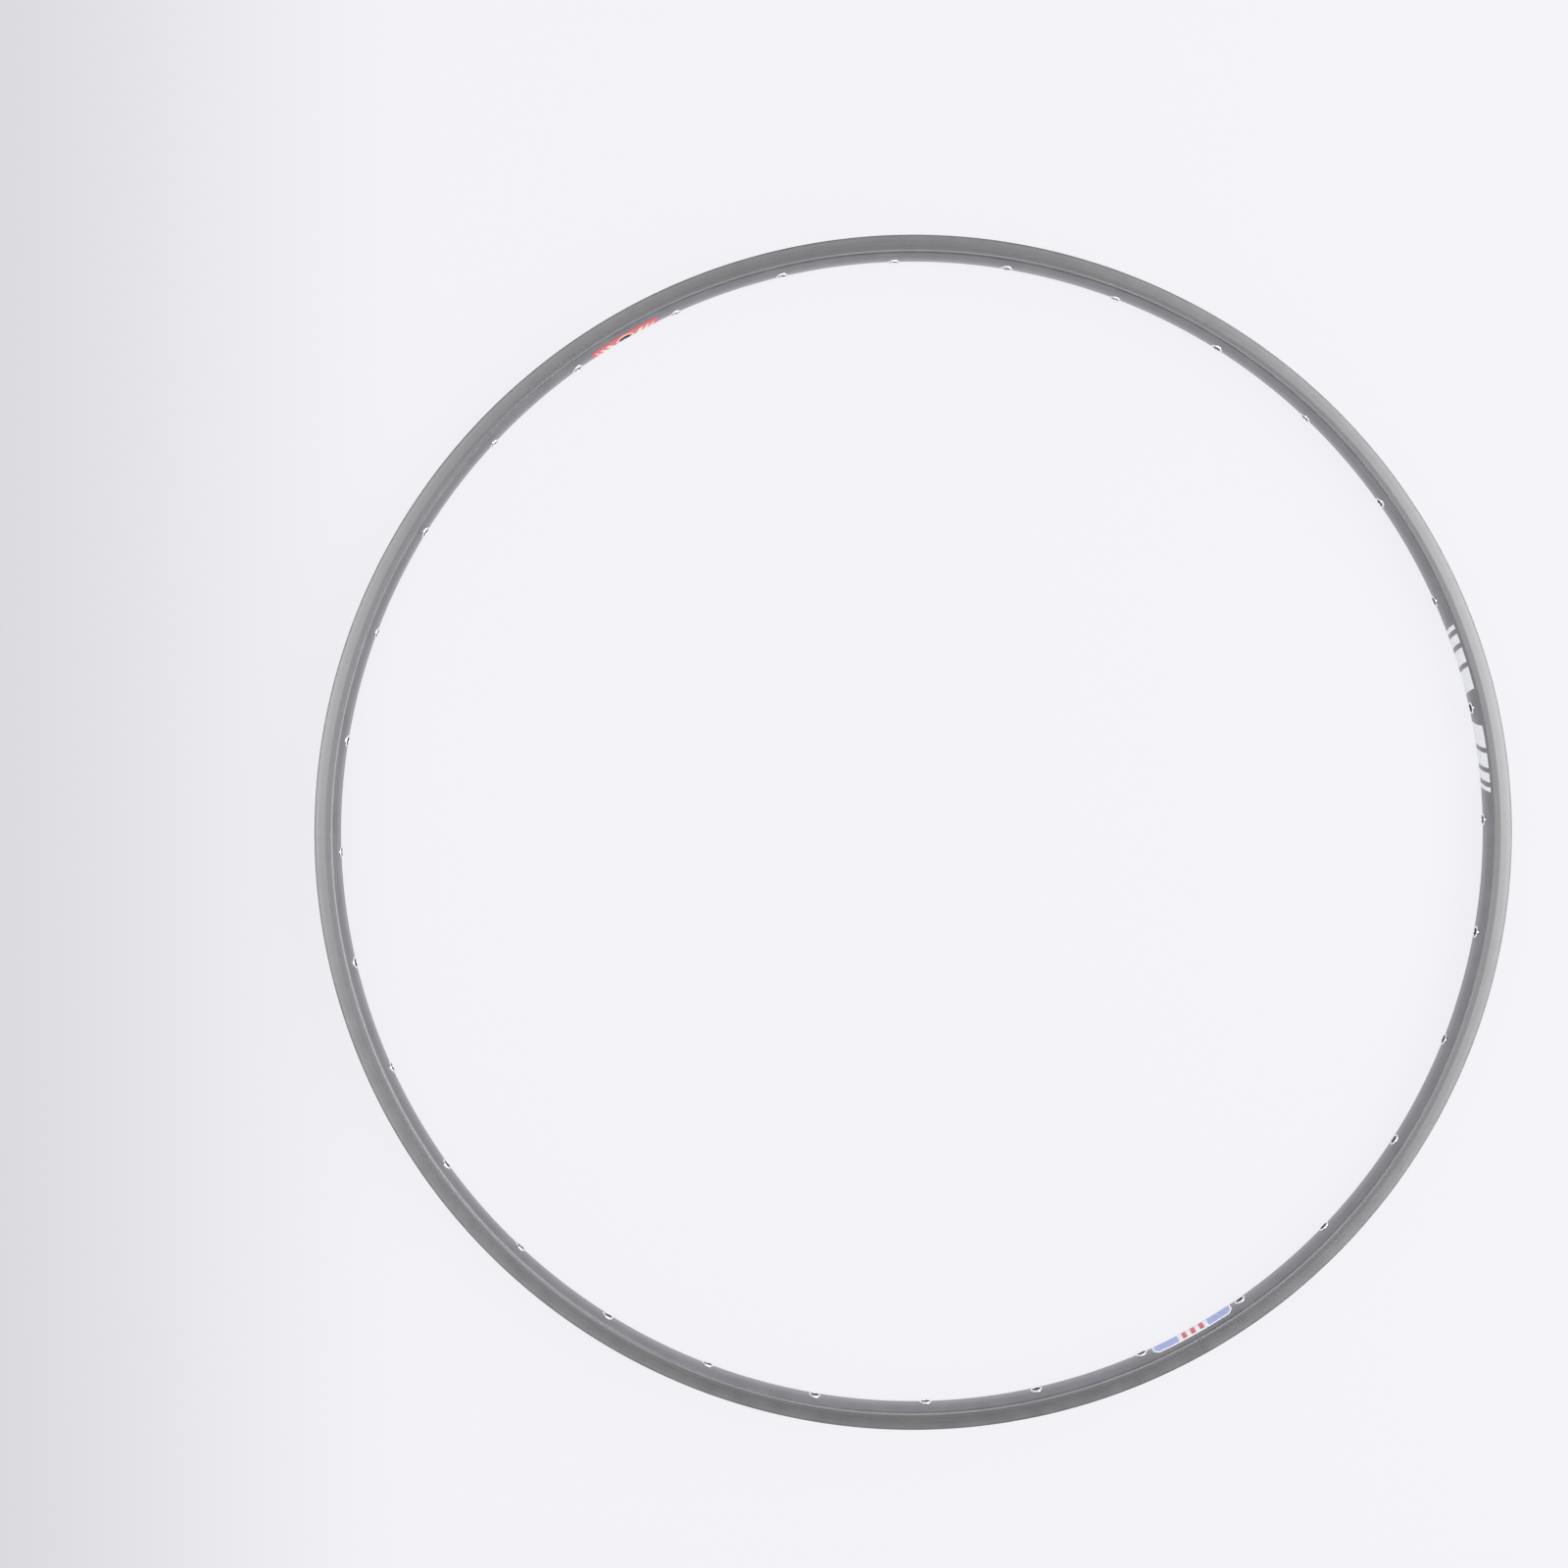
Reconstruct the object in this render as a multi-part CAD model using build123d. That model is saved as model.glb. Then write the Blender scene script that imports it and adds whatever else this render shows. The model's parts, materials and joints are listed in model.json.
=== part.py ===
from build123d import *

import os
from math import degrees

# A bicycle rim for a glued tubular tyre, lying on its side. The wheel axis is Z, the middle of the rim is
# Z = 0 and the valve hole is on +X. Lengths are in millimetres and angles in degrees.

# Hoop
OUTER_DIAMETER = 634.0  # over the lips
RIM_WIDTH = 20.0  # over the brake tracks

# Section, from the lips to the hub side
LIP_LAND = 0.7  # flat top of each lip
TYRE_BED_DEPTH = 3.5  # from the lips down to the middle of the tyre bed
TYRE_BED_LEVEL = 10.0  # level strip there, between the slopes up to the lips
TRACK_HEIGHT = 6.0  # flat height of a brake track
SHOULDER_HEIGHT = 3.4  # sloped stretch below a track
SHOULDER_STEP = 0.6  # how far that slope draws in
BED_RISE = 2.3  # how far the hub-side land stands out from the shoulders
LAND_WIDTH = 9.0  # middle strip that the spoke holes are drilled in

# Walls round the hollow
TYRE_WALL = 1.3
TRACK_WALL = 1.5
HUB_WALL = 1.4

# Holes
SPOKE_COUNT = 32
SPOKE_STAGGER = 1.2  # how far the holes lie from mid-plane, by turns on either side
SPOKE_HOLE_DIAMETER = 5.0  # in the hub-side wall, for the eyelets
ACCESS_HOLE_WIDTH = 7.5  # in the tyre bed, to let the nipples in, across its flats
ACCESS_HOLE_SIDES = 6
VALVE_HOLE_DIAMETER = 6.5

# Insert that joins the ends of the hoop, opposite the valve hole
INSERT_LENGTH = 46.0
INSERT_PLAY = 0.15  # radial room in the hollow, while its sides touch the track walls

# Places in the section that follow, as radius from the wheel axis or height above mid-plane
lip_radius = OUTER_DIAMETER / 2
half_width = RIM_WIDTH / 2
lip_inside = half_width - LIP_LAND
bed_radius = lip_radius - TYRE_BED_DEPTH
track_foot = lip_radius - TRACK_HEIGHT
shoulder_radius = track_foot - SHOULDER_HEIGHT
land_radius = shoulder_radius - BED_RISE
spoke_pitch = 360 / SPOKE_COUNT


def both_sides(points):
    """Face between the points of an upper half and their images below mid-plane."""
    images = ((radius, -height) for radius, height in reversed(points))
    return make_face(Polyline(*points, *images, close=True))


def outline():
    """Outside of the section: tyre bed, lips, brake tracks, shoulders and hub-side bed."""
    return both_sides(
        [
            (bed_radius, TYRE_BED_LEVEL / 2),
            (lip_radius, lip_inside),
            (lip_radius, half_width),
            (track_foot, half_width),
            (shoulder_radius, half_width - SHOULDER_STEP),
            (land_radius, LAND_WIDTH / 2),
        ]
    )


def hollow(play=0.0):
    """Hollow of the section, or a filling that has radial play in it."""
    inside = half_width - TRACK_WALL
    return both_sides(
        [
            (bed_radius - TYRE_WALL - play, inside),
            (shoulder_radius + HUB_WALL + play, inside),
            (land_radius + HUB_WALL + play, LAND_WIDTH / 2),
        ]
    )


def drill(hole, angle, height, start, end):
    """Tool with the outline of a hole, along a radius of the wheel between two distances from its axis."""
    return Rot(0, 0, angle) * Pos(start, 0, height) * Rot(0, 90, 0) * extrude(hole, end - start)


def make_rim():
    hoop = revolve(Plane.XZ * (outline() - hollow()), Axis.Z)
    spoke_hole = Circle(SPOKE_HOLE_DIAMETER / 2)
    access_hole = RegularPolygon(
        ACCESS_HOLE_WIDTH / 2,
        ACCESS_HOLE_SIDES,
        major_radius=False,
        rotation=180 / ACCESS_HOLE_SIDES,
    )
    valve_hole = Circle(VALVE_HOLE_DIAMETER / 2)
    hub_side = land_radius - HUB_WALL
    in_hollow = (land_radius + bed_radius) / 2
    tools = [drill(valve_hole, 0, 0, hub_side, lip_radius)]
    for number in range(SPOKE_COUNT):
        angle = (number + 0.5) * spoke_pitch
        height = SPOKE_STAGGER if number % 2 == 0 else -SPOKE_STAGGER
        tools.append(drill(spoke_hole, angle, height, hub_side, in_hollow))
        tools.append(drill(access_hole, angle, height, in_hollow, lip_radius))
    return hoop - tools


def make_joint_insert():
    turn = degrees(INSERT_LENGTH / land_radius)
    insert = revolve(Plane.XZ * hollow(INSERT_PLAY), Axis.Z, revolution_arc=turn)
    return Rot(0, 0, 180 - turn / 2) * insert


os.makedirs("parts", exist_ok=True)
export_step(make_rim(), "parts/rim.step")
export_step(make_joint_insert(), "parts/joint_insert.step")
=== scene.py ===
"""Looks of a bicycle rim that lies on a pale floor, seen from above.

The rim is made again here with rounded edges, a drilled tyre bed and a butt seam. Eyelets and printed
films are added on its hub side. Lengths are in millimetres until a mesh is made, except where a comment
says metres, and angles are in degrees.
"""

import json
from math import atan, atan2, ceil, cos, degrees, hypot, pi, radians, sin, sqrt, tan

import bpy
import numpy as np
from mathutils import Matrix, Vector
from mathutils.geometry import delaunay_2d_cdt


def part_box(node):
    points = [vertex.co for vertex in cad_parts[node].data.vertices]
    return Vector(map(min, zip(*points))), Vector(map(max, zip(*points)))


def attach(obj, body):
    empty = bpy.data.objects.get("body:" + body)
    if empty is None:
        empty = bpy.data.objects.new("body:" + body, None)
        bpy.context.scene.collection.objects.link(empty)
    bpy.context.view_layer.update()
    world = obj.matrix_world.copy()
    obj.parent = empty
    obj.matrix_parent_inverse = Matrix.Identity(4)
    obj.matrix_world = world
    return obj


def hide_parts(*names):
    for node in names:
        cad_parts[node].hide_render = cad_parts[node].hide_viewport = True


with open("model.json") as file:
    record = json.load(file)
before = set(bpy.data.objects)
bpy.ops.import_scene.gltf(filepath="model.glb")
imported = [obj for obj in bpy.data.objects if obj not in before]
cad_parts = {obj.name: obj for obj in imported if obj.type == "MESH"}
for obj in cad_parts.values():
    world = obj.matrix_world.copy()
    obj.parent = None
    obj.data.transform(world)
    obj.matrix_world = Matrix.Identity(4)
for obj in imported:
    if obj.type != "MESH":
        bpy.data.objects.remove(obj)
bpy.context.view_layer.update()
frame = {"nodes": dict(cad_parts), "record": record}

MM = 0.001  # a millimetre in metres

# Section, as the solid has it
LIP_LAND = 0.7  # flat top of each lip
TYRE_BED_DEPTH = 3.5  # from the lips down to the middle of the tyre bed
TYRE_BED_LEVEL = 10.0  # level strip there
TRACK_HEIGHT = 6.0
SHOULDER_HEIGHT = 3.4  # sloped stretch below a track
SHOULDER_STEP = 0.6  # how far that slope draws in
BED_RISE = 2.3  # how far the hub-side land stands out from the shoulders
LAND_WIDTH = 9.0
TYRE_WALL = 1.3
TRACK_WALL = 1.5
HUB_WALL = 1.4

# Roundings of its edges
LIP_ROUND = 0.3
TRACK_EDGE_ROUND = 0.6
TRACK_FOOT_ROUND = 1.5
SHOULDER_ROUND = 1.8
BED_BLEND = 3.0  # length on either side of a land's edge that the convex bed takes up
TYRE_BED_BLEND = 1.2
HOLLOW_ROUND = 0.6
EDGE_FINISH_WIDTH = 1.6  # along the inner edge of a shoulder, where the bed's finish starts

# Butt seam
SEAM_ANGLE = 180.0
SEAM_WIDTH = 0.16
SEAM_DEPTH = 0.1

# Holes
ACCESS_HOLE_RADIUS = 3.9  # in the tyre bed, for the spoke nipples
EDGE_BREAK = 0.2  # chamfer of the bare holes

# Mesh of the rim
ARC_STEP = 15.0  # largest angle between the points of a rounded edge
ROW_MARGIN = 1.0  # from an edge or a strip to the row of mesh beside it
TYRE_SLOPE_END = 0.5  # from the last row of a slope of the tyre bed to its lip
TYRE_SLOPE_ROWS = 4
FLANK_ROWS = 6
HUB_STRIP = 5.0  # half the width of the strips that the patches round the holes lie in
HOLLOW_HUB_STRIP = 4.5
TYRE_STRIP = 7.2
PATCH_HALF = 8.0  # half the length of a patch
PATCH_COLUMNS = 8
PATCH_ROWS = 12
PATCH_RINGS = (0.5, 0.85, 1.0)  # shares of the way from a patch's border to its hole
COARSE_STEP = 1.0  # largest angle between columns elsewhere
SAME_ANGLE = 1e-6  # columns nearer than this are one
SMOOTH_UNDER = 35.0  # edges sharper than this stay sharp

# Eyelets, as distance from the hole's axis and height above the bed
EYELET_PLAY = 0.02  # all round, in the hole
EYELET_BORE = 2.25
EYELET_FLANGE = 3.2
EYELET_HEIGHT = 0.8
EYELET_ROUND = 0.6  # of the flange's outer edge
EYELET_MOUTH_ROUND = 0.3
EYELET_ROLL = 0.45  # thickness of the end that is rolled over inside
EYELET_ROLL_REACH = 0.5  # how far that end stands out from the hole
EYELET_ROLL_ROUND = 0.2
EYELET_SEGMENTS = 40
EYELET_SMOOTH_UNDER = 50.0

# Printed films, drawn flat: along the rim from the film's middle, and across it
FILM_THICKNESS = 0.07
FILM_STEP = 1.0  # size of the mesh
FILM_MERGE = 1e-5  # points nearer than this are one
DISC_SIDES = 48

# Film round the valve hole, with a ring and leaning bars
VALVE_FILM_ANGLE = 0.0
VALVE_FILM_SIZE = (40.0, 12.6)
VALVE_FILM_CUT = 0.8  # off its corners
VALVE_FILM_PLAY = 0.15  # round the broken edge of the hole
VALVE_RING = (5.2, 4.4)  # outer and inner radius
VALVE_BARS = ((9.0, 2.4), (13.0, 1.6), (16.2, 0.9))  # place and width, on either side
VALVE_BAR_HEIGHT = 7.0
VALVE_BAR_LEAN = 0.35

# Film of separate leaning bars, which leave a spoke hole free
BARS_ANGLE = 253.125
BARS_START = 8.0  # from the middle to the first bar on either side
BARS_WIDTHS = (12.0, 8.0, 5.0, 2.5)
BARS_GAP = 2.6
BARS_HEIGHT = 16.6
BARS_LEAN = 0.25

# Film over the seam, with a border, a clear field and upright bars
SEAM_FILM_SIZE = (48.0, 13.0)
SEAM_FILM_CUT = 2.5
SEAM_INK_SIZE = (46.0, 11.2)
SEAM_INK_CUT = 2.1
SEAM_FIELD_SIZE = (18.0, 12.0)
SEAM_BARS = (-5.2, 0.0, 5.2)
SEAM_BAR_WIDTH = 2.6
SEAM_BAR_HEIGHT = 10.6

# Anodised finish. Scales of noise are per metre, and its levels run from 0 to 1.
TRACK_TINT = (1.0, 1.0, 1.03)  # a trace of blue
BED_TINT = (1.0, 0.98, 1.045)  # a trace of violet
TRACK_ROUGHNESS = 0.51
BED_ROUGHNESS = 0.42
ROUGHNESS_SPREAD = 0.05  # to either side
TRACK_ANISOTROPY = 0.7  # by the lines, which draw highlights out
BED_ANISOTROPY = 0.0
ACROSS_TANGENT = 0.25  # turn of the anisotropy, in whole turns
METALLIC_SHARE = 0.85
COAT_WEIGHT = 0.6
COAT_ROUGHNESS = 0.35
LINE_SCALE_ALONG = 18.0
LINE_SCALE_ACROSS = 3200.0
LINE_DETAIL = 3.0
CLOUD_SCALE = 90.0
CLOUD_DETAIL = 4.0
CLOUD_DEPTH = 0.11  # how far lines and clouds lighten or darken the metal
LINE_TONE = 0.4  # share of the lines in that, with clouds for the rest
TONE_LIMITS = (0.3, 0.7)
ROUGHNESS_LIMITS = (0.25, 0.75)
GRAIN_SCALE = 2600.0
GRAIN_DETAIL = 2.0
LINE_BUMP = 0.5  # share of the lines in the bump, with grain for the rest
BUMP_STRENGTH = 0.08
BUMP_DISTANCE = 0.00002  # metres
WORN_START = 0.7  # below the lip, where worn specks start
WORN_FULL = 0.2
WORN_LEVEL = 0.55
SPECK_SCALE = 420.0
SPECK_DETAIL = 3.0
SPECK_LIMITS = (0.66, 0.72)

# Plating of the eyelets, and bare metal
PLATING_DARK = (0.82, 0.82, 0.82, 1.0)
PLATING_LIGHT = (0.92, 0.92, 0.93, 1.0)
PLATING_ROUGHNESS = (0.22, 0.38)
SMEAR_SCALE = 900.0
SMEAR_DETAIL = 3.0
# Painted shade: grey levels of the bare metal in the eyelets' bores, far darker than the insert's
SHADED_BORE_LEVELS = (0.28, 0.40)
INSERT_LEVELS = (0.55, 0.70)
BARE_ROUGHNESS = (0.3, 0.5)
STREAK_SCALE = 300.0
STREAK_DETAIL = 4.0

# Ink of the films
INK_RED = (0.66, 0.11, 0.13)
INK_CREAM = (0.90, 0.80, 0.58)
INK_WHITE = (0.86, 0.87, 0.89)
INK_BLUE = (0.36, 0.42, 0.74)
INK_DARKEST = 0.88  # of the colour, where the ink is uneven
INK_SCALE = 700.0
INK_DETAIL = 3.0
INK_ROUGHNESS = (0.32, 0.46)
SCUFF_SCALE = 1500.0
SCUFF_DETAIL = 4.0
SCUFF_LIMITS = (0.68, 0.74)
SCUFF_DEPTH = 0.5
SCUFF_LEVEL = 0.75

# The photograph's camera, in the plane of its picture: right, up and towards the viewer from the rim's middle
VALVE_ON_SCREEN = 119.81  # anticlockwise from the right
CAMERA_PLACE = (-45.79, 64.27, 1239.61)
CAMERA_AIM = (-0.01726, -0.0295, -0.99942)
CAMERA_FOCUS = 2369.5  # pixels
CAMERA_NEAR = 0.01  # metres
PICTURE_SIZE = 1600
SENSOR = 36.0

# Lamps: name, place along the same axes and size in metres, and watts
LAMPS = (
    ("lamp_over", (0.0, 0.12, 1.7), (3.0, 0.5), 22.5),
    ("lamp_right", (1.1, 0.15, 0.9), (0.7, 3.0), 26.5),
    ("lamp_left", (-1.1, -0.6, 0.9), (0.7, 2.8), 5.0),
)

# Floor and surroundings, in metres
FLOOR_HALF = 6.0
FLOOR_COLOUR = (0.80, 0.80, 0.82, 1.0)
FLOOR_ROUGHNESS = 0.9
GLOW_LEFT = (0.68, 0.68, 0.71, 1.0)
GLOW_MAIN = (0.89, 0.89, 0.93, 1.0)
GLOW_LIMITS = (-0.55, -0.25)  # to the right of the rim's middle, where the first runs into the second
GLOW_SHARE = 0.94  # the rest keeps the shadow
SKY_COLOUR = (0.95, 0.96, 1.0, 1.0)
SKY_LIMITS = (0.2, 0.65)  # rise of the direction between low and high sky
SKY_LOW = 0.9
SKY_HIGH = 0.08

# Places in the section that follow, as radius from the wheel axis or height above mid-plane
rim_low, rim_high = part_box("rim")
lip_radius = rim_high.x / MM
half_width = rim_high.z / MM
lip_inside = half_width - LIP_LAND
bed_level = lip_radius - TYRE_BED_DEPTH
bed_slope = TYRE_BED_DEPTH / (lip_inside - TYRE_BED_LEVEL / 2)
track_foot = lip_radius - TRACK_HEIGHT
shoulder_radius = track_foot - SHOULDER_HEIGHT
shoulder_top = half_width - SHOULDER_STEP
edge_finish_top = shoulder_top + EDGE_FINISH_WIDTH * SHOULDER_STEP / SHOULDER_HEIGHT
land_radius = shoulder_radius - BED_RISE
hollow_side = half_width - TRACK_WALL
flank_slope = BED_RISE / (shoulder_top - LAND_WIDTH / 2)
flank_angle = atan(flank_slope)
blend_radius = BED_BLEND / tan(flank_angle / 2)
blend_start = LAND_WIDTH / 2 - BED_BLEND
blend_end = LAND_WIDTH / 2 + BED_BLEND * cos(flank_angle)

# Grey levels of the anodising by radius: up a track to its lip, and up the bed's edge over its ridge. Some of
# them are painted highlight and shade, as marked
track_stops = (
    (track_foot - 0.3, 0.138),
    (track_foot + 0.5, 0.20),
    (lip_radius - 3.5, 0.21),
    # Painted highlight: the lighter band a little below the lip
    (lip_radius - 1.2, 0.25),
    (lip_radius - 0.6, 0.20),
    (lip_radius, 0.15),
)
bed_stops = (
    (shoulder_radius - 0.2, 0.225),
    # Painted shade: the ridge darker than the bed, which dulls its highlight; the shoulder above it darker
    # still
    (shoulder_radius + 0.4, 0.165),
    (shoulder_radius + 1.3, 0.138),
)


def drilled_holes(name):
    """Angle, height and radius of the holes that the record lists under a name."""
    found = []
    for mount in frame["record"]["mounts"]:
        if mount["name"].startswith(name):
            x, y, z = mount["pos_m"]
            found.append((degrees(atan2(y, x)) % 360, z / MM, mount["dims"]["r_mm"]))
    return found


spoke_holes = drilled_holes("spoke_hole")
valve_holes = drilled_holes("valve_hole")


def hoop_point(turn, radius, height, aside=0.0):
    """Place in metres at a radius and a height, some way aside of a turn in radians."""
    along = sqrt(radius**2 - aside**2)
    x = along * cos(turn) - aside * sin(turn)
    y = along * sin(turn) + aside * cos(turn)
    return (x * MM, y * MM, height * MM)


# Surfaces of the section, each as the radius at a height


def tyre_bed(z):
    """Level in the middle, running softly into the slopes up to the lips."""
    over = (abs(z) - TYRE_BED_LEVEL / 2) * bed_slope
    return bed_level + (over + hypot(over, TYRE_BED_BLEND)) / 2


def hollow_roof(z):
    """Level all the way across."""
    return bed_level - TYRE_WALL


def hub_bed(z):
    """Flat land in the middle, an arc on either side of it, and straight flanks."""
    off = abs(z)
    if off <= blend_start:
        return land_radius
    if off <= blend_end:
        return land_radius + blend_radius - sqrt(blend_radius**2 - (off - blend_start) ** 2)
    return land_radius + (off - LAND_WIDTH / 2) * flank_slope


def hollow_floor(z):
    """Flat in the middle, with straight flanks."""
    return land_radius + HUB_WALL + max(0.0, abs(z) - LAND_WIDTH / 2) * flank_slope


SURFACES = {
    "outside": {"hub": hub_bed, "tyre": tyre_bed},
    "hollow": {"hub": hollow_floor, "tyre": hollow_roof},
}


def rounded(corners):
    """Line through (x, y, rounding) corners, with a short arc in place of each rounded one."""
    points = [Vector(corners[0][:2])]
    for before, corner, after in zip(corners, corners[1:], corners[2:]):
        middle = Vector(corner[:2])
        rounding = corner[2]
        if not rounding:
            points.append(middle)
            continue
        back = (Vector(before[:2]) - middle).normalized()
        ahead = (Vector(after[:2]) - middle).normalized()
        turn = pi - back.angle(ahead)
        centre = middle + (back + ahead).normalized() * rounding / cos(turn / 2)
        first = middle + back * rounding * tan(turn / 2) - centre
        last = middle + ahead * rounding * tan(turn / 2) - centre
        steps = max(2, ceil(degrees(turn) / ARC_STEP))
        for step in range(steps + 1):
            share = step / steps
            reach = first * sin((1 - share) * turn) + last * sin(share * turn)
            points.append(centre + reach / sin(turn))
    points.append(Vector(corners[-1][:2]))
    return [tuple(point) for point in points]


def strip(surface, first, last):
    """Points across a surface that patches are cut into."""
    return [(surface(z), z) for z in np.linspace(first, last, PATCH_ROWS + 1)]


def contour(upper_half, surfaces):
    """Closed line round a skin's section: upper half, hub side, lower half and tyre side.

    Also gives the rows where the strips of its hub side and its tyre side start.
    """
    lower_half = [(radius, -height) for radius, height in reversed(upper_half)]
    hub_half = upper_half[-1][1]
    tyre_half = upper_half[0][1]
    hub_rows = strip(surfaces["hub"], hub_half, -hub_half)
    tyre_rows = strip(surfaces["tyre"], -tyre_half, tyre_half)
    line = upper_half[:-1] + hub_rows + lower_half[1:] + tyre_rows[1:-1]
    starts = {"hub": len(upper_half) - 1, "tyre": len(line) - PATCH_ROWS}
    return line, starts


def outside_contour():
    slope_heights = np.linspace(TYRE_STRIP, lip_inside - TYRE_SLOPE_END, TYRE_SLOPE_ROWS)
    flank_heights = np.linspace(blend_end + ROW_MARGIN, HUB_STRIP, FLANK_ROWS)
    corners = [(tyre_bed(z), z, 0) for z in slope_heights]
    corners += [
        (lip_radius, lip_inside, LIP_ROUND),
        (lip_radius, half_width, TRACK_EDGE_ROUND),
        (lip_radius - ROW_MARGIN, half_width, 0),
        (track_foot + ROW_MARGIN, half_width, 0),
        (track_foot, half_width, TRACK_FOOT_ROUND),
        (shoulder_radius + EDGE_FINISH_WIDTH, edge_finish_top, 0),
        (shoulder_radius, shoulder_top, SHOULDER_ROUND),
    ]
    corners += [(hub_bed(z), z, 0) for z in flank_heights]
    return contour(rounded(corners), SURFACES["outside"])


def hollow_contour():
    beside_strip = HOLLOW_HUB_STRIP + ROW_MARGIN
    corners = [
        (hollow_roof(TYRE_STRIP), TYRE_STRIP, 0),
        (hollow_roof(hollow_side), hollow_side, HOLLOW_ROUND),
        (shoulder_radius + HUB_WALL, hollow_side, HOLLOW_ROUND),
        (hollow_floor(beside_strip), beside_strip, 0),
        (hollow_floor(HOLLOW_HUB_STRIP), HOLLOW_HUB_STRIP, 0),
    ]
    return contour(rounded(corners), SURFACES["hollow"])


def column_angles(centres):
    """Angles of the mesh's columns: close together round each hole and at the seam, wider between."""
    half = degrees(PATCH_HALF / land_radius)
    seam = degrees(SEAM_WIDTH / 2 / lip_radius)
    blocks = [np.linspace(centre - half, centre + half, PATCH_COLUMNS + 1) for centre in centres]
    blocks.append(np.array([SEAM_ANGLE - seam, SEAM_ANGLE, SEAM_ANGLE + seam]))
    blocks.sort(key=lambda block: block[0])
    columns = []
    for block, following in zip(blocks, blocks[1:] + [blocks[0] + 360]):
        gap = following[0] - block[-1]
        steps = ceil(gap / COARSE_STEP)
        columns += list(block)
        columns += [block[-1] + gap * step / steps for step in range(1, steps)]
    return columns


def hole_bearings(spots):
    """Directions from a hole's middle to the spots round it, drawn halfway to an even spread."""
    directions = np.unwrap([atan2(rise, aside) for aside, rise in spots])
    way = 1 if directions[-1] > directions[0] else -1
    even = directions[0] + way * 2 * pi * np.arange(len(spots)) / len(spots)
    return (directions + even) / 2


class RimMesh:
    """Vertices and faces of the rim: two skins, outside and hollow, joined by the walls of the holes."""

    def __init__(self):
        self.columns = column_angles([angle for angle, _, _ in spoke_holes + valve_holes])
        self.lines = {}
        self.starts = {}
        self.lines["outside"], self.starts["outside"] = outside_contour()
        self.lines["hollow"], self.starts["hollow"] = hollow_contour()
        self.points = []
        self.faces = []
        self.grid = {}  # vertices of the skins, by skin, row and column
        self.open = set()  # quads of the skins that patches replace

    def add(self, angle, radius, height, aside=0.0):
        """Number of a new vertex."""
        self.points.append(hoop_point(radians(angle), radius, height, aside))
        return len(self.points) - 1

    def corner(self, skin, row, column):
        """Vertex of a skin's grid. The outside is let in along the seam."""
        line = self.lines[skin]
        row %= len(line)
        column %= len(self.columns)
        key = (skin, row, column)
        if key not in self.grid:
            radius, height = line[row]
            if skin == "outside" and abs(self.columns[column] - SEAM_ANGLE) < SAME_ANGLE:
                before = line[row - 1]
                after = line[(row + 1) % len(line)]
                along = Vector((after[0] - before[0], after[1] - before[1])).normalized()
                radius -= along.y * SEAM_DEPTH
                height += along.x * SEAM_DEPTH
            self.grid[key] = self.add(self.columns[column], radius, height)
        return self.grid[key]

    def window(self, skin, first_row, first_column):
        """Rows and columns round a hole's patch, which is left open in the skin."""
        last_row = first_row + PATCH_ROWS
        last_column = first_column + PATCH_COLUMNS
        rows = range(first_row, last_row)
        columns = range(first_column, last_column)
        for row in rows:
            for column in columns:
                self.open.add((skin, row % len(self.lines[skin]), column % len(self.columns)))
        edge = [(first_row, column) for column in columns]
        edge += [(row, last_column) for row in rows]
        edge += [(last_row, column + 1) for column in reversed(columns)]
        edge += [(row + 1, first_column) for row in reversed(rows)]
        return edge

    def patch(self, skin, side, first_column, hole, edge_break):
        """Rings of vertices in one skin, from the border of a hole's patch to the hole's wall."""
        angle, height, radius = hole
        surface = SURFACES[skin][side]
        line = self.lines[skin]
        edge = self.window(skin, self.starts[skin][side], first_column)
        spots = []
        for row, column in edge:
            edge_radius, edge_height = line[row % len(line)]
            turn = radians(self.columns[column % len(self.columns)] - angle)
            spots.append((edge_radius * sin(turn), edge_height - height))
        bearings = hole_bearings(spots)
        rings = [[self.corner(skin, row, column) for row, column in edge]]
        mouth = radius + edge_break
        for share in PATCH_RINGS:
            ring = []
            for (aside, rise), bearing in zip(spots, bearings):
                off = aside + (mouth * cos(bearing) - aside) * share
                level = height + rise + (mouth * sin(bearing) - rise) * share
                ring.append(self.add(angle, surface(level), level, off))
            rings.append(ring)
        if edge_break:
            into_wall = 1 if (skin == "outside") == (side == "hub") else -1
            wall = []
            for bearing in bearings:
                level = height + radius * sin(bearing)
                deep = surface(level) + into_wall * edge_break
                wall.append(self.add(angle, deep, level, radius * cos(bearing)))
            rings.append(wall)
        return rings

    def drill(self, side, hole, edge_break):
        """Round hole through the wall of the hub side or the tyre side."""
        first = hole[0] - degrees(PATCH_HALF / land_radius)
        distances = [abs((column - first + 180) % 360 - 180) for column in self.columns]
        first_column = int(np.argmin(distances))
        rings = self.patch("outside", side, first_column, hole, edge_break)
        rings += reversed(self.patch("hollow", side, first_column, hole, edge_break))
        for outer, inner in zip(rings, rings[1:]):
            for k in range(len(outer)):
                following = (k + 1) % len(outer)
                self.faces.append((outer[k], outer[following], inner[following], inner[k]))

    def close_skins(self):
        """Quads of both skins, outside the patches."""
        for skin, line in self.lines.items():
            for row in range(len(line)):
                for column in range(len(self.columns)):
                    if (skin, row, column) in self.open:
                        continue
                    quad = [
                        self.corner(skin, row, column),
                        self.corner(skin, row, column + 1),
                        self.corner(skin, row + 1, column + 1),
                        self.corner(skin, row + 1, column),
                    ]
                    self.faces.append(quad if skin == "outside" else quad[::-1])


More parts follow.
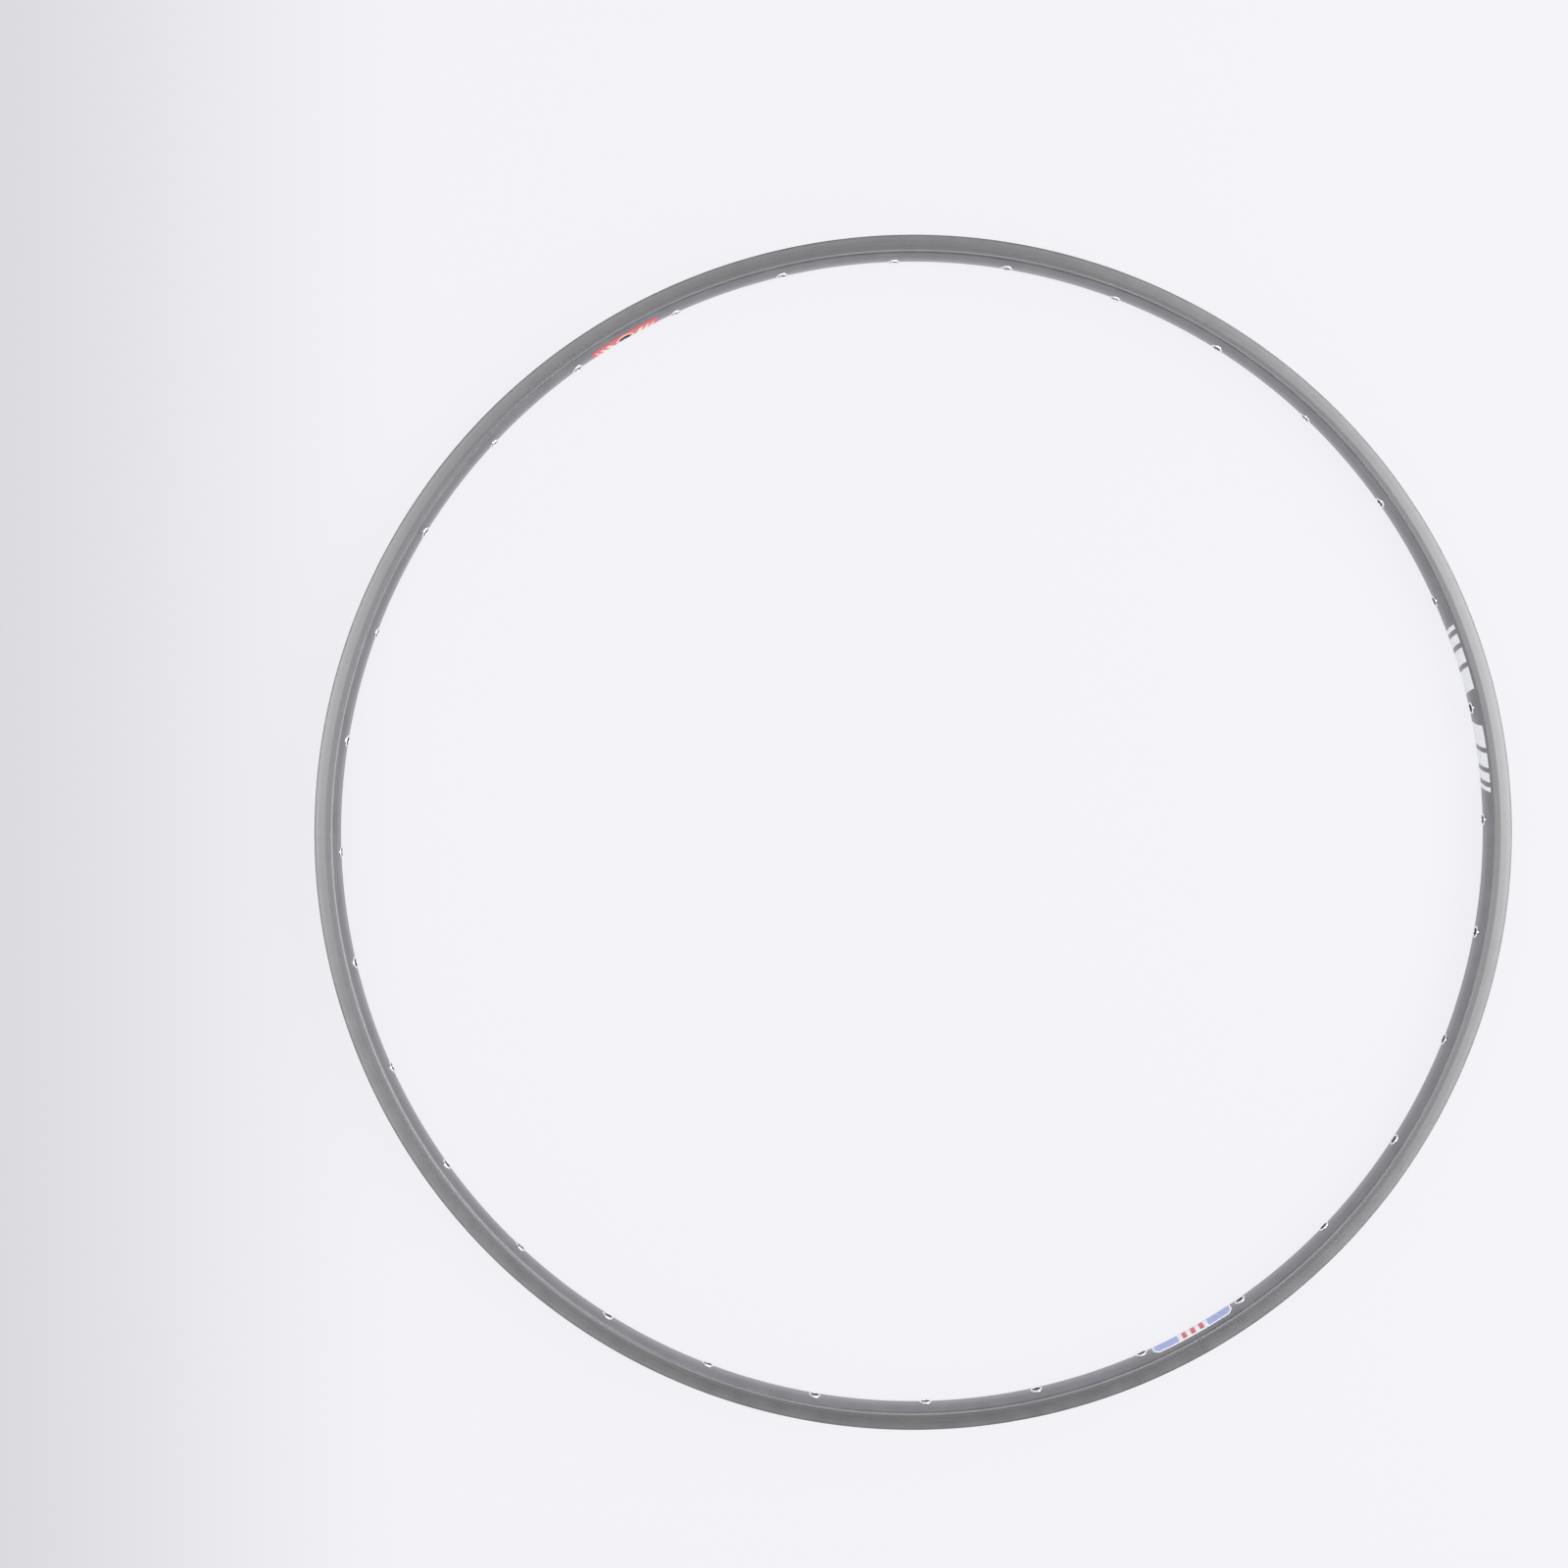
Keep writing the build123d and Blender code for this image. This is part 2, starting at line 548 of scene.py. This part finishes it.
def add_piece(name, points, faces, materials, smooth_under=SMOOTH_UNDER):
    """Mesh piece that rides on the rim's body, smooth except across edges sharper than an angle."""
    mesh = bpy.data.meshes.new(name)
    mesh.from_pydata(points, [], faces)
    mesh.validate()
    mesh.shade_smooth()
    mesh.set_sharp_from_angle(angle=radians(smooth_under))
    for material in materials:
        mesh.materials.append(material)
    piece = bpy.data.objects.new(name, mesh)
    bpy.context.scene.collection.objects.link(piece)
    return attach(piece, "root")


def make_rim(bed_metal, track_metal):
    rim = RimMesh()
    for angle, height, radius in spoke_holes:
        rim.drill("hub", (angle, height, radius), 0)
        rim.drill("tyre", (angle, height, ACCESS_HOLE_RADIUS), EDGE_BREAK)
    for hole in valve_holes:
        rim.drill("hub", hole, EDGE_BREAK)
        rim.drill("tyre", hole, EDGE_BREAK)
    rim.close_skins()
    piece = add_piece("rim_dressed", rim.points, rim.faces, [bed_metal, track_metal])
    for face in piece.data.polygons:
        face.material_index = int(abs(face.center.z) > edge_finish_top * MM)
    shading = piece.modifiers.new("even_shading", "WEIGHTED_NORMAL")
    shading.keep_sharp = True
    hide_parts("rim")


def eyelet_section(hole_radius):
    """Closed line round an eyelet's wall, as (distance from its axis, height above the bed)."""
    sleeve = hole_radius - EYELET_PLAY
    inside = -HUB_WALL - EYELET_PLAY
    roll_reach = hole_radius + EYELET_ROLL_REACH
    return rounded(
        [
            (sleeve, 0, 0),
            (EYELET_FLANGE, 0, 0),
            (EYELET_FLANGE, EYELET_HEIGHT, EYELET_ROUND),
            (EYELET_BORE, EYELET_HEIGHT, EYELET_MOUTH_ROUND),
            (EYELET_BORE, inside - EYELET_ROLL, EYELET_ROLL_ROUND),
            (roll_reach, inside - EYELET_ROLL, EYELET_ROLL_ROUND),
            (roll_reach, inside, 0),
            (sleeve, inside, 0),
        ]
    )


def make_eyelets(plating, bare_metal):
    """All eyelets, each seated on the bed round its own hole. Below the bed they are bare metal, which is
    darker in the bore as painted shade.
    """
    points = []
    faces = []
    slots = []
    for angle, height, hole_radius in spoke_holes:
        section = eyelet_section(hole_radius)
        count = len(section)
        start = len(points)
        for step in range(EYELET_SEGMENTS):
            bearing = 2 * pi * step / EYELET_SEGMENTS
            for reach, rise in section:
                level = height + reach * sin(bearing)
                seat = hub_bed(level) if rise >= 0 else land_radius
                points.append(hoop_point(radians(angle), seat - rise, level, reach * cos(bearing)))
        for step in range(EYELET_SEGMENTS):
            here = start + step * count
            there = start + (step + 1) % EYELET_SEGMENTS * count
            for k in range(count):
                following = (k + 1) % count
                faces.append((here + k, here + following, there + following, there + k))
                slots.append(int(section[following][1] < 0))
    eyelets = add_piece("eyelets", points, faces, [plating, bare_metal], EYELET_SMOOTH_UNDER)
    eyelets.data.polygons.foreach_set("material_index", slots)


def bar(middle, width, height, lean):
    """Bar across a film, which leans along the rim by a share of the height."""
    half = width / 2
    shift = lean * height / 2
    return [
        (middle - half - shift, -height / 2),
        (middle + half - shift, -height / 2),
        (middle + half + shift, height / 2),
        (middle - half + shift, height / 2),
    ]


def box(size, cut=0.0):
    """Rectangle of a length and a width with its corners cut off."""
    length, width = size
    right = length / 2
    high = width / 2
    return [
        (cut - right, -high),
        (right - cut, -high),
        (right, cut - high),
        (right, high - cut),
        (right - cut, high),
        (cut - right, high),
        (-right, high - cut),
        (-right, cut - high),
    ]


def disc(radius):
    turns = [2 * pi * side / DISC_SIDES for side in range(DISC_SIDES)]
    return [(radius * cos(turn), radius * sin(turn)) for turn in turns]


def stepped(outline):
    """Outline with points added, so that it can follow the bed."""
    points = []
    for (x0, y0), (x1, y1) in zip(outline, outline[1:] + outline[:1]):
        steps = max(1, ceil(hypot(x1 - x0, y1 - y0) / FILM_STEP))
        points += [(x0 + (x1 - x0) * k / steps, y0 + (y1 - y0) * k / steps) for k in range(steps)]
    return points


def flat_film(fields, prints, holes):
    """Flat mesh of a film, as its points, its triangles and the number of each triangle's material."""
    points = []
    rows = []
    for outline in fields + [outline for outline, _ in prints] + holes:
        outline = stepped(outline)
        rows.append(list(range(len(points), len(points) + len(outline))))
        points += outline
    low = np.min(points, axis=0) + FILM_STEP / 2
    high = np.max(points, axis=0)
    across = np.arange(low[1], high[1], FILM_STEP)
    points += [(x, y) for x in np.arange(low[0], high[0], FILM_STEP) for y in across]
    inside_only = 1
    spots = [Vector(point) for point in points]
    flat, _, triangles, _, _, owners = delaunay_2d_cdt(spots, [], rows, inside_only, FILM_MERGE)
    first_print = len(fields)
    first_hole = first_print + len(prints)
    faces = []
    slots = []
    for triangle, owner in zip(triangles, owners):
        if not owner or max(owner) >= first_hole or min(owner) >= first_print:
            continue
        faces.append(triangle)
        slots.append(prints[max(owner) - first_print][1] if max(owner) >= first_print else 0)
    return flat, faces, slots


def make_film(name, angle, fields, prints, holes, materials):
    """Film on the bed at an angle: one or more fields, printed and pierced.

    Fields and holes are outlines. A print is an outline and the number of its material, and it covers
    the prints before it.
    """
    flat, faces, slots = flat_film(fields, prints, holes)
    used = sorted({corner for face in faces for corner in face})
    numbers = {corner: k for k, corner in enumerate(used)}
    points = []
    for corner in used:
        along, height = flat[corner]
        turn = radians(angle) + along / land_radius
        points.append(hoop_point(turn, hub_bed(height) - FILM_THICKNESS, height))
    outward = [[numbers[corner] for corner in reversed(face)] for face in faces]
    film = add_piece(name, points, outward, materials)
    film.data.polygons.foreach_set("material_index", slots)
    body = film.modifiers.new("thickness", "SOLIDIFY")
    body.thickness = FILM_THICKNESS * MM
    body.offset = -1


def feed(tree, target, inputs):
    """Set a node's inputs, by name or number. Each gets a value or another node's output."""
    for key, value in inputs.items():
        if isinstance(value, bpy.types.NodeSocket):
            tree.links.new(value, target.inputs[key])
        else:
            target.inputs[key].default_value = value


def node(tree, kind, inputs=None, **settings):
    made = tree.nodes.new(kind)
    for key, value in settings.items():
        setattr(made, key, value)
    feed(tree, made, inputs or {})
    return made


def maths(tree, operation, first, second):
    return node(tree, "ShaderNodeMath", {0: first, 1: second}, operation=operation).outputs[0]


def mixture(tree, share, first, second):
    """Sum of two values, the first with a share and the second with the rest."""
    part = maths(tree, "MULTIPLY", first, share)
    rest = maths(tree, "MULTIPLY", second, 1 - share)
    return maths(tree, "ADD", part, rest)


def between(tree, value, limits, low, high):
    """Value brought softly from its limits to a low and a high one, and kept between them."""
    inputs = {"Value": value, "From Min": limits[0], "From Max": limits[1], "To Min": low, "To Max": high}
    return node(tree, "ShaderNodeMapRange", inputs, interpolation_type="SMOOTHSTEP").outputs[0]


def blend(tree, share, first, second):
    """Colour between two others. A Mix node's colours are its inputs 6 and 7 and its output 2."""
    return node(tree, "ShaderNodeMix", {0: share, 6: first, 7: second}, data_type="RGBA").outputs[2]


def noise(tree, vector, scale, detail):
    inputs = {"Vector": vector, "Scale": scale, "Detail": detail}
    return node(tree, "ShaderNodeTexNoise", inputs).outputs["Fac"]


def object_place(tree):
    return node(tree, "ShaderNodeTexCoord").outputs["Object"]


def new_material(name):
    material = bpy.data.materials.new(name)
    material.use_nodes = True
    tree = material.node_tree
    return material, tree, tree.nodes["Principled BSDF"]


def grey(level, tint=(1.0, 1.0, 1.0)):
    return (level * tint[0], level * tint[1], level * tint[2], 1.0)


def level_at(tree, radius, stops, tint, share):
    """Colour that follows the radius through (radius, grey level) stops, times a share."""
    first = stops[0][0]
    length = stops[-1][0] - first
    along = maths(tree, "DIVIDE", maths(tree, "SUBTRACT", radius, first * MM), length * MM)
    ramp = node(tree, "ShaderNodeValToRGB", {"Fac": along})
    elements = ramp.color_ramp.elements
    while len(elements) < len(stops):
        elements.new(1.0)
    for element, (place, level) in zip(elements, stops):
        element.position = (place - first) / length
        element.color = grey(level * share, tint)
    return ramp.outputs["Color"]


def anodised_metal(name, tint, stops, roughness, anisotropy):
    """Satin anodising: cloudy tone, faint lines round the hoop, fine grain and worn lips."""
    material, tree, shader = new_material(name)
    place = object_place(tree)
    flat = node(tree, "ShaderNodeVectorMath", {0: place, 1: (1.0, 1.0, 0.0)}, operation="MULTIPLY")
    radius = node(tree, "ShaderNodeVectorMath", {0: flat.outputs[0]}, operation="LENGTH").outputs["Value"]
    x, y, z = node(tree, "ShaderNodeSeparateXYZ", {0: place}).outputs
    stretched = {
        "X": maths(tree, "MULTIPLY", x, LINE_SCALE_ALONG),
        "Y": maths(tree, "MULTIPLY", y, LINE_SCALE_ALONG),
        "Z": maths(tree, "MULTIPLY", maths(tree, "ADD", radius, z), LINE_SCALE_ACROSS),
    }
    lines_place = node(tree, "ShaderNodeCombineXYZ", stretched).outputs[0]
    lines = noise(tree, lines_place, 1.0, LINE_DETAIL)
    clouds = noise(tree, place, CLOUD_SCALE, CLOUD_DETAIL)
    grain = noise(tree, place, GRAIN_SCALE, GRAIN_DETAIL)
    tone = mixture(tree, LINE_TONE, lines, clouds)
    dark = level_at(tree, radius, stops, tint, 1 - CLOUD_DEPTH)
    light = level_at(tree, radius, stops, tint, 1 + CLOUD_DEPTH)
    colour = blend(tree, between(tree, tone, TONE_LIMITS, 0.0, 1.0), dark, light)
    lip_limits = ((lip_radius - WORN_START) * MM, (lip_radius - WORN_FULL) * MM)
    lip = between(tree, radius, lip_limits, 0.0, 1.0)
    specks = between(tree, noise(tree, place, SPECK_SCALE, SPECK_DETAIL), SPECK_LIMITS, 0.0, 1.0)
    worn = maths(tree, "MULTIPLY", lip, specks)
    smoothest = roughness - ROUGHNESS_SPREAD
    roughest = roughness + ROUGHNESS_SPREAD
    height = mixture(tree, LINE_BUMP, lines, grain)
    relief = {"Strength": BUMP_STRENGTH, "Distance": BUMP_DISTANCE, "Height": height}
    finish = {
        "Base Color": blend(tree, worn, colour, grey(WORN_LEVEL)),
        "Roughness": between(tree, tone, ROUGHNESS_LIMITS, smoothest, roughest),
        "Metallic": METALLIC_SHARE,
        "Coat Weight": COAT_WEIGHT,
        "Coat Roughness": COAT_ROUGHNESS,
        "Anisotropic": anisotropy,
        "Anisotropic Rotation": ACROSS_TANGENT,
        "Tangent": node(tree, "ShaderNodeTangent", direction_type="RADIAL", axis="Z").outputs[0],
        "Normal": node(tree, "ShaderNodeBump", relief).outputs[0],
    }
    feed(tree, shader, finish)
    return material


def streaked_metal(name, dark, light, scale, detail, roughness):
    """Bare or plated metal: streaks between two colours, with a roughness that follows them."""
    material, tree, shader = new_material(name)
    streaks = noise(tree, object_place(tree), scale, detail)
    finish = {
        "Base Color": blend(tree, streaks, dark, light),
        "Roughness": between(tree, streaks, TONE_LIMITS, *roughness),
        "Metallic": 1.0,
    }
    feed(tree, shader, finish)
    return material


def bright_plating():
    return streaked_metal(
        "bright_plating", PLATING_DARK, PLATING_LIGHT, SMEAR_SCALE, SMEAR_DETAIL, PLATING_ROUGHNESS
    )


def bare_metal(name, levels):
    dark, light = levels
    return streaked_metal(name, grey(dark), grey(light), STREAK_SCALE, STREAK_DETAIL, BARE_ROUGHNESS)


def printed_film(name, colour):
    """Ink on a film: slight unevenness, and paler scuffs."""
    material, tree, shader = new_material(name)
    place = object_place(tree)
    uneven = noise(tree, place, INK_SCALE, INK_DETAIL)
    darkest = tuple(channel * INK_DARKEST for channel in colour)
    ink = blend(tree, uneven, darkest + (1.0,), colour + (1.0,))
    scuffs = between(tree, noise(tree, place, SCUFF_SCALE, SCUFF_DETAIL), SCUFF_LIMITS, 0.0, SCUFF_DEPTH)
    finish = {
        "Base Color": blend(tree, scuffs, ink, grey(SCUFF_LEVEL)),
        "Roughness": between(tree, uneven, TONE_LIMITS, *INK_ROUGHNESS),
    }
    feed(tree, shader, finish)
    return material


def dress_metal():
    """The rim, its eyelets and the finish of its insert."""
    bed_metal = anodised_metal("anodised_bed", BED_TINT, bed_stops, BED_ROUGHNESS, BED_ANISOTROPY)
    track_metal = anodised_metal("anodised_track", TRACK_TINT, track_stops, TRACK_ROUGHNESS, TRACK_ANISOTROPY)
    make_rim(bed_metal, track_metal)
    # Below the bed the eyelets are bare metal, darker in the bore as painted shade
    make_eyelets(bright_plating(), bare_metal("dull_shaded_metal", SHADED_BORE_LEVELS))
    insert = frame["nodes"]["joint_insert"]
    insert.data.materials.clear()
    insert.data.materials.append(bare_metal("plain_metal", INSERT_LEVELS))


def make_films():
    red = printed_film("film_red", INK_RED)
    cream = printed_film("film_cream", INK_CREAM)
    white = printed_film("film_white", INK_WHITE)
    blue = printed_film("film_blue", INK_BLUE)

    ring_outside, ring_inside = VALVE_RING
    valve_prints = [(disc(ring_outside), 1), (disc(ring_inside), 0)]
    for side in (-1, 1):
        for middle, width in VALVE_BARS:
            valve_bar = bar(side * middle, width, VALVE_BAR_HEIGHT, side * VALVE_BAR_LEAN)
            valve_prints.append((valve_bar, 1))
    valve_field = box(VALVE_FILM_SIZE, VALVE_FILM_CUT)
    valve_opening = disc(valve_holes[0][2] + EDGE_BREAK + VALVE_FILM_PLAY)
    make_film("film_valve", VALVE_FILM_ANGLE, [valve_field], valve_prints, [valve_opening], [red, cream])

    bars = []
    for side in (-1, 1):
        start = BARS_START
        for width in BARS_WIDTHS:
            bars.append(bar(side * (start + width / 2), width, BARS_HEIGHT, side * BARS_LEAN))
            start += width + BARS_GAP
    make_film("film_bars", BARS_ANGLE, bars, [], [], [white])

    seam_field = box(SEAM_FILM_SIZE, SEAM_FILM_CUT)
    seam_prints = [(box(SEAM_INK_SIZE, SEAM_INK_CUT), 1), (box(SEAM_FIELD_SIZE), 0)]
    seam_prints += [(bar(middle, SEAM_BAR_WIDTH, SEAM_BAR_HEIGHT, 0.0), 2) for middle in SEAM_BARS]
    make_film("film_seam", SEAM_ANGLE, [seam_field], seam_prints, [], [white, blue, red])


screen_right = Vector((cos(radians(-VALVE_ON_SCREEN)), sin(radians(-VALVE_ON_SCREEN)), 0))
screen_up = Vector((-screen_right.y, screen_right.x, 0))


def on_screen(right, up, towards):
    """Vector of the rim's frame from one along the photograph's axes."""
    return screen_right * right + screen_up * up + Vector((0, 0, towards))


def turned(back):
    """Turn of a camera or lamp that looks away from a direction, with its top towards the picture's top."""
    right = screen_up.cross(back).normalized()
    return Matrix((right, back.cross(right), back)).transposed().to_4x4()


def add_camera():
    data = bpy.data.cameras.new("camera")
    data.sensor_width = SENSOR
    data.lens = CAMERA_FOCUS * SENSOR / PICTURE_SIZE
    data.clip_start = CAMERA_NEAR
    camera = bpy.data.objects.new("camera", data)
    bpy.context.scene.collection.objects.link(camera)
    place = Matrix.Translation(on_screen(*CAMERA_PLACE) * MM)
    camera.matrix_world = place @ turned(-on_screen(*CAMERA_AIM).normalized())
    bpy.context.scene.camera = camera


def add_lamp(name, place, size, watts):
    """Soft lamp that points to the rim's middle."""
    data = bpy.data.lights.new(name, "AREA")
    data.shape = "RECTANGLE"
    data.size, data.size_y = size
    data.energy = watts
    lamp = bpy.data.objects.new(name, data)
    bpy.context.scene.collection.objects.link(lamp)
    spot = on_screen(*place)
    lamp.matrix_world = Matrix.Translation(spot) @ turned(spot.normalized())


def floor_material():
    """Pale floor. The camera and the metal see mostly an even glow, which is darker at the left."""
    material, tree, shader = new_material("pale_floor")
    feed(tree, shader, {"Base Color": FLOOR_COLOUR, "Roughness": FLOOR_ROUGHNESS})
    along = {0: object_place(tree), 1: screen_right}
    aside = node(tree, "ShaderNodeVectorMath", along, operation="DOT_PRODUCT").outputs["Value"]
    tone = blend(tree, between(tree, aside, GLOW_LIMITS, 0.0, 1.0), GLOW_LEFT, GLOW_MAIN)
    glow = node(tree, "ShaderNodeEmission", {"Color": tone, "Strength": 1.0})
    path = node(tree, "ShaderNodeLightPath").outputs
    seen = maths(tree, "MAXIMUM", path["Is Camera Ray"], path["Is Glossy Ray"])
    seen = maths(tree, "MAXIMUM", seen, path["Is Transmission Ray"])
    share = maths(tree, "MULTIPLY", seen, GLOW_SHARE)
    mix = node(tree, "ShaderNodeMixShader", {0: share, 1: shader.outputs[0], 2: glow.outputs[0]})
    feed(tree, tree.nodes["Material Output"], {0: mix.outputs[0]})
    return material


def add_floor():
    level = rim_low.z
    half = FLOOR_HALF
    corners = [(-half, -half, level), (half, -half, level), (half, half, level), (-half, half, level)]
    mesh = bpy.data.meshes.new("floor")
    mesh.from_pydata(corners, [], [(0, 1, 2, 3)])
    mesh.materials.append(floor_material())
    floor = bpy.data.objects.new("floor", mesh)
    bpy.context.scene.collection.objects.link(floor)


def add_light():
    """Surroundings that are bright near the horizon and dark above, and the lamps."""
    world = bpy.data.worlds.new("studio")
    bpy.context.scene.world = world
    world.use_nodes = True
    tree = world.node_tree
    direction = node(tree, "ShaderNodeTexCoord").outputs["Generated"]
    rise = node(tree, "ShaderNodeSeparateXYZ", {0: direction}).outputs[2]
    strength = between(tree, rise, SKY_LIMITS, SKY_LOW, SKY_HIGH)
    feed(tree, tree.nodes["Background"], {"Color": SKY_COLOUR, "Strength": strength})
    for lamp in LAMPS:
        add_lamp(*lamp)


dress_metal()
make_films()
add_camera()
add_floor()
add_light()
bpy.context.scene.view_settings.view_transform = "Standard"
